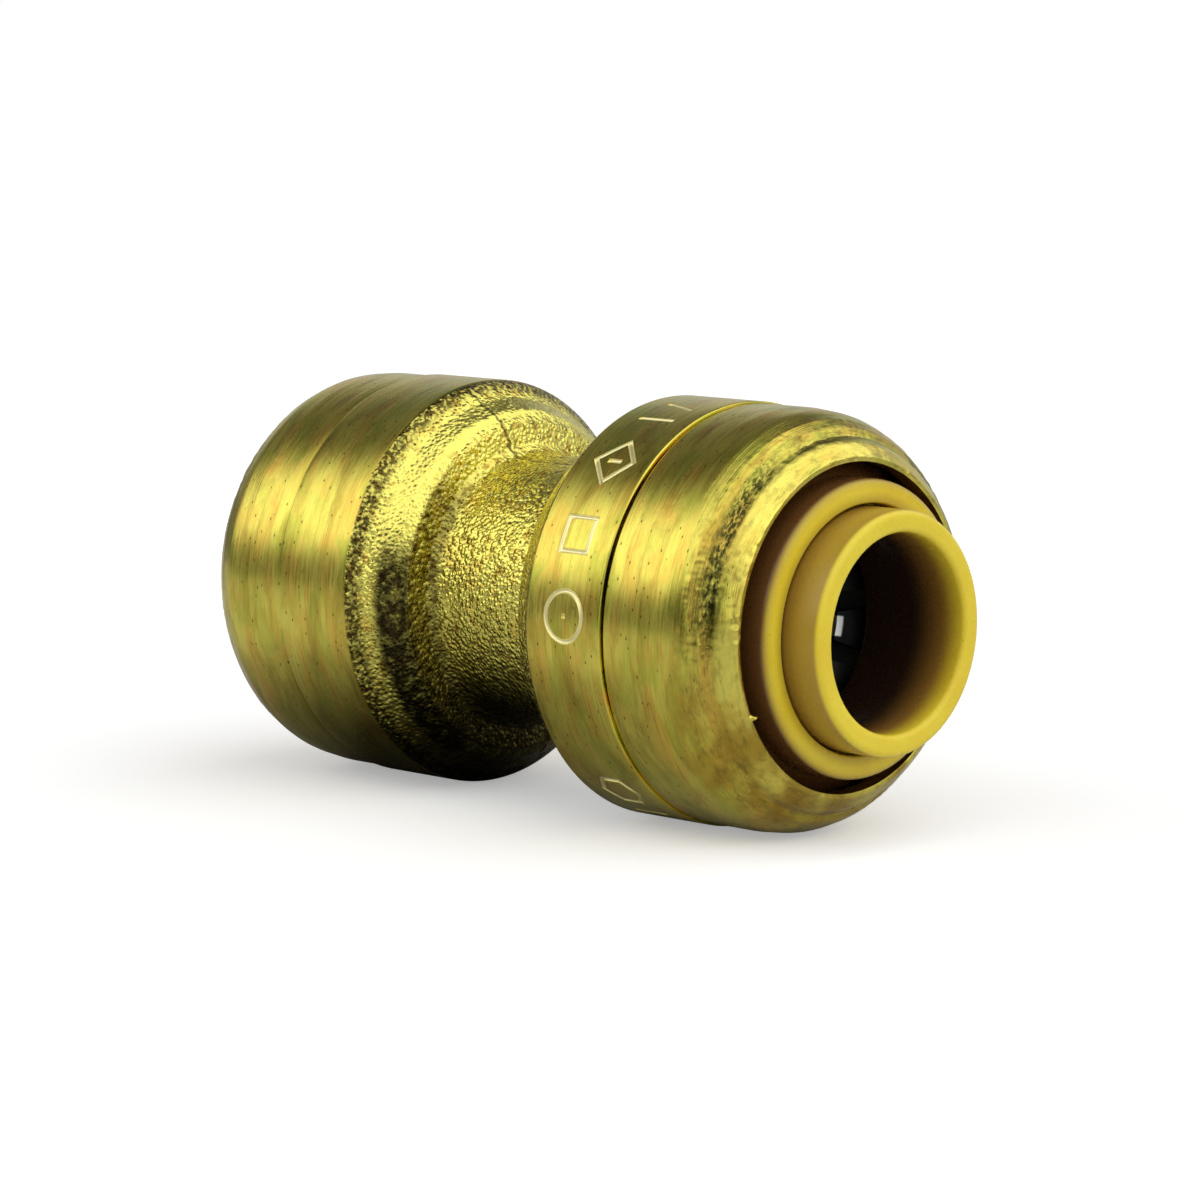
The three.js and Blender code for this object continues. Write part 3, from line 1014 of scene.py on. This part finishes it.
def make_end(side_name):
    side = 1 if side_name == "right" else -1
    cartridge, collar_body = f"cartridge_{side_name}", f"collar_{side_name}"

    cap = turned(f"cap_{side_name}", cap_outline(), CAP_COLUMNS, cap_step, cap_relief, side)
    finish_piece(cap, f"end_cap_{side_name}", "root", "turned_brass")

    plastics = (
        ("retainer", retainer_outline, "collar_retainer", cartridge),
        ("collar_sleeve", collar_outline, "release_collar", collar_body),
    )
    for name, outline, node, body in plastics:
        piece = turned(
            f"{name}_{side_name}",
            outline(),
            MOVING_COLUMNS,
            MOVING_STEP,
            moulded_relief,
            side,
        )
        finish_piece(piece, f"{node}_{side_name}", body, "tan_plastic")

    grab = turned(
        f"toothed_ring_{side_name}", grab_outline(), MOVING_COLUMNS, GRAB_STEP, None, side
    )
    punch_slots(grab, side)
    finish_piece(grab, f"grab_ring_{side_name}", None, "stainless")
    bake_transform(grab)

    rings = (
        ("seat", seat_outline, "grab_ring_seat", "grey_plastic"),
        ("protector", protector_outline, "o_ring_protector", "grey_plastic"),
        ("seal", o_ring_outline, "o_ring", "seal_rubber"),
    )
    for name, outline, node, slot in rings:
        ring = turned(
            f"{name}_ring_{side_name}", outline(), RING_COLUMNS, RING_STEP, None, side
        )
        finish_piece(ring, f"{node}_{side_name}", "root", slot)


make_body()
make_end("right")
make_end("left")


# ---- floor, light and camera ---------------------------------------------------------------------

FLOOR_HALF = 15.0                   # in metres, so that its edge is out of sight
FLOOR_ALBEDO, FLOOR_GLOW = 0.85, 0.36
# What the coupling sees: a painted pool of light, grey near it and darker further out, and a
# painted shadow below the left shoulder.
NEAR_GREY, FAR_GREY = 0.68, 0.22
NEAR_REACH, FAR_REACH = 60, 350
DARK_AT = (-8, -5)
DARK_REACH, DARK_FADE = 4, 24
DARK_SHARE = 0.06

FRONT_LEVEL, ABOVE_LEVEL, WALL_LEVEL = 1.25, 1.15, 0.42
RIGHT_LEVEL, LEFT_LEVEL, END_LEVEL = 0.6, 0.1, 0.9
ROOM_LEVEL = 0.14

CAMERA_AZIMUTH, CAMERA_ELEVATION = math.radians(44.178), math.radians(7.759)
CAMERA_AT = (153.428, -156.540, 29.497)
CAMERA_LENS, CAMERA_SENSOR = 128.9, 36


def floor_grey(n):
    """How grey a floor the coupling sees, from 0 to 1."""
    x, y = n.parts(n.place)[:2]
    distance = n.math("SQRT", n.total(n.product(x, x), n.product(y, y)))
    grey = n.spread(distance, NEAR_REACH * MM, FAR_REACH * MM, NEAR_GREY, FAR_GREY)
    # A painted shadow on the floor below the left shoulder, seen only in reflections.
    x = n.math("SUBTRACT", x, DARK_AT[0] * MM)
    y = n.math("SUBTRACT", y, DARK_AT[1] * MM)
    distance = n.math("SQRT", n.total(n.product(x, x), n.product(y, y)))
    return n.product(grey, n.spread(distance, DARK_REACH * MM, DARK_FADE * MM, DARK_SHARE, 1.0))


def make_floor():
    """A white floor. Only the camera sees it so bright: the coupling reflects a greyer one."""
    bm = bmesh.new()
    bmesh.ops.create_grid(bm, x_segments=8, y_segments=8, size=FLOOR_HALF)
    mesh = bpy.data.meshes.new("studio_floor")
    bm.to_mesh(mesh)
    bm.free()
    floor = link("studio_floor", mesh)
    floor.location.z = -(FLANGE_R + 0.02) * MM
    n = Finish("studio_floor")
    n.shader.inputs["Base Color"].default_value = (FLOOR_ALBEDO,) * 3 + (1,)
    n.shader.inputs["Roughness"].default_value = 0.9
    n.shader.inputs["Specular IOR Level"].default_value = 0.0
    n.shader.inputs["Emission Color"].default_value = (1, 1, 1, 1)
    n.shader.inputs["Emission Strength"].default_value = FLOOR_GLOW
    greyer = n.add("ShaderNodeBsdfDiffuse")
    n.link(n.mix(floor_grey(n), (0, 0, 0, 1), (1, 1, 1, 1)), greyer.inputs["Color"])
    seen = n.add("ShaderNodeLightPath")
    joined = n.add("ShaderNodeMixShader")
    n.link(seen.outputs["Is Camera Ray"], joined.inputs[0])
    n.link(greyer.outputs[0], joined.inputs[1])
    n.link(n.shader.outputs[0], joined.inputs[2])
    n.link(joined.outputs[0], n.out.inputs[0])
    floor.data.materials.append(n.material)


def light_level(n):
    """How bright the studio is in each direction, from lights with soft edges in a dim room."""
    x, y, z = n.parts(n.add("ShaderNodeTexCoord").outputs["Generated"])
    # The front light's lower edge climbs towards the right, where the light is also weaker.
    height = n.math("SUBTRACT", z, n.product(n.math("ADD", x, 0.69), 0.2))
    weaker = n.math("SUBTRACT", 1.0, n.product(n.rise(x, 0.1, 0.35), 0.5))
    front = n.product(n.rise(height, 0.08, 0.33), n.rise(height, 0.9, 0.55))
    front = n.product(front, n.rise(y, -0.1, -0.45), weaker, FRONT_LEVEL)
    above = n.product(n.rise(x, -0.2, 0.08), n.rise(z, 0.3, 0.6), n.rise(y, -0.95, -0.5))
    wall = n.product(n.rise(z, 0.62, 0.3), n.rise(y, 0.1, 0.5))
    right = n.product(n.rise(x, 0.42, 0.62), n.rise(y, -0.4, -0.65), n.rise(z, 0.5, 0.2))
    left = n.product(n.rise(x, 0.2, -0.6), n.rise(y, 0.0, -0.6))
    end = n.product(n.rise(x, 0.7, 0.9), n.rise(z, -0.05, 0.1))
    return n.total(
        n.math("MAXIMUM", front, n.product(above, ABOVE_LEVEL)),
        n.product(wall, WALL_LEVEL),
        n.product(right, RIGHT_LEVEL),
        n.product(left, LEFT_LEVEL),
        n.product(end, END_LEVEL),
        ROOM_LEVEL,
    )


def make_world():
    """The studio's light. The camera sees plain white."""
    world = bpy.data.worlds.new("studio")
    world.use_nodes = True
    n = Nodes(world.node_tree)
    seen = n.add("ShaderNodeLightPath").outputs["Is Camera Ray"]
    background = n.add("ShaderNodeBackground")
    n.link(n.mix_value(seen, light_level(n), 1.0), background.inputs["Color"])
    n.link(background.outputs[0], n.add("ShaderNodeOutputWorld").inputs[0])
    bpy.context.scene.world = world


def make_camera():
    """The camera at the photograph's viewing angle."""
    back = Vector(
        (
            math.sin(CAMERA_AZIMUTH) * math.cos(CAMERA_ELEVATION),
            -math.cos(CAMERA_AZIMUTH) * math.cos(CAMERA_ELEVATION),
            math.sin(CAMERA_ELEVATION),
        )
    )
    data = bpy.data.cameras.new("camera")
    data.sensor_width = CAMERA_SENSOR
    data.lens = CAMERA_LENS
    data.clip_start, data.clip_end = 0.01, 40
    camera = bpy.data.objects.new("camera", data)
    camera.location = Vector(CAMERA_AT) * MM
    camera.rotation_mode = "QUATERNION"
    camera.rotation_quaternion = (-back).to_track_quat("-Z", "Y")
    bpy.context.scene.collection.objects.link(camera)
    bpy.context.scene.camera = camera


make_floor()
make_world()
make_camera()
bpy.context.scene.view_settings.view_transform = "Standard"
